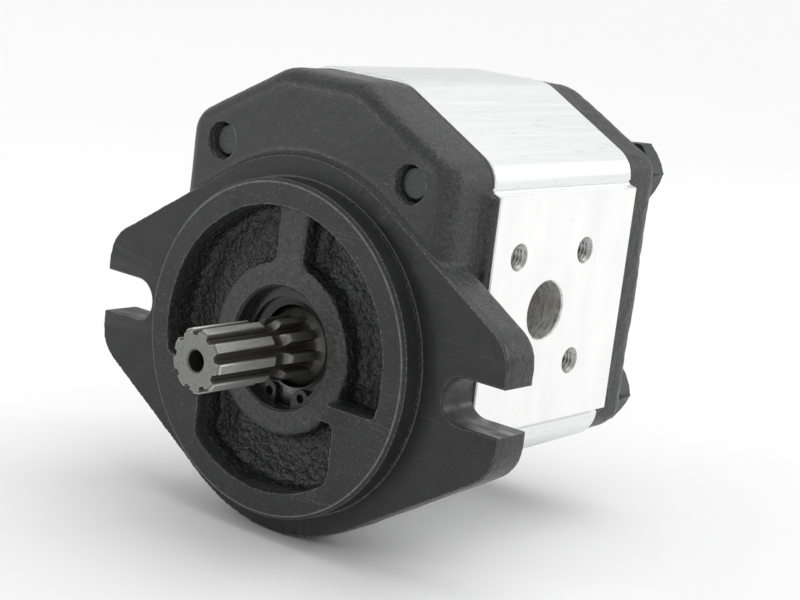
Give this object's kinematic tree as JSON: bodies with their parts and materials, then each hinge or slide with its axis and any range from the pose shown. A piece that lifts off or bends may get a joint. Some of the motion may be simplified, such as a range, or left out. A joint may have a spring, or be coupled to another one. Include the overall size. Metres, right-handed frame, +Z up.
{
  "type": "hydraulic gear pump",
  "caption": "External gear pump with a slotted pilot flange, splined drive shaft, extruded body with side ports, and bolted cast covers.",
  "frame": {"origin": "on the drive shaft's axis at the flange's mounting face", "axes": "+X to the right seen from the shaft end, +Y back along the shaft towards the rear cover, +Z up from the drive gear to the driven gear; the shaft end points along -Y"},
  "size_m": [0.129, 0.1318, 0.1136],
  "materials": {
    "black_cast_iron": "black phosphated and oiled sand casting, machined faces smoother",
    "extruded_aluminium": "satin extrusion with fine lines along its length, milled port faces",
    "ground_gear_steel": "case-hardened steel, turned and hobbed, slightly warm grey",
    "dark_bolt_steel": "dark zinc or phosphate, satin",
    "dark_spring_steel": "oiled spring steel",
    "plain_steel": "bright drawn steel",
    "bearing_alloy": "cast bearing alloy, machined",
    "bearing_bronze": "bronze on steel backing",
    "seal_rubber": "moulded nitrile rubber",
    "backup_polymer": "natural moulded polymer"
  },
  "bodies": {
    "housing": {"front_cover": "black_cast_iron", "pump_body": "extruded_aluminium", "rear_cover": "black_cast_iron", "front_bearing_block": "bearing_alloy", "rear_bearing_block": "bearing_alloy", "front_pressure_seal": "seal_rubber", "rear_pressure_seal": "seal_rubber", "front_backup_ring": "backup_polymer", "rear_backup_ring": "backup_polymer", "front_body_seal": "seal_rubber", "rear_body_seal": "seal_rubber", "shaft_seal": "seal_rubber", "shaft_seal_case": "plain_steel", "garter_spring": "plain_steel", "circlip": "dark_spring_steel", "front_drive_sleeve": "bearing_bronze", "rear_drive_sleeve": "bearing_bronze", "front_driven_sleeve": "bearing_bronze", "rear_driven_sleeve": "bearing_bronze", "hex_bolt_1": "dark_bolt_steel", "hex_bolt_2": "dark_bolt_steel", "hex_bolt_3": "dark_bolt_steel", "hex_bolt_4": "dark_bolt_steel", "front_dowel_left": "plain_steel", "front_dowel_right": "plain_steel", "rear_dowel_left": "plain_steel", "rear_dowel_right": "plain_steel"},
    "drive_shaft": {"drive_gear_shaft": "ground_gear_steel"},
    "driven_shaft": {"driven_gear_shaft": "ground_gear_steel"}
  },
  "joints": [
    {"name": "drive_spin", "type": "hinge", "parent": "housing", "child": "drive_shaft", "pos_m": [0, 0, 0], "axis": [0, 1, 0], "continuous": true},
    {"name": "driven_spin", "type": "hinge", "parent": "housing", "child": "driven_shaft", "pos_m": [0, 0, 0.0312], "axis": [0, 1, 0], "continuous": true}
  ],
  "couplings": [
    {"joint": "driven_spin", "follows": "drive_spin", "ratio": -1}
  ]
}
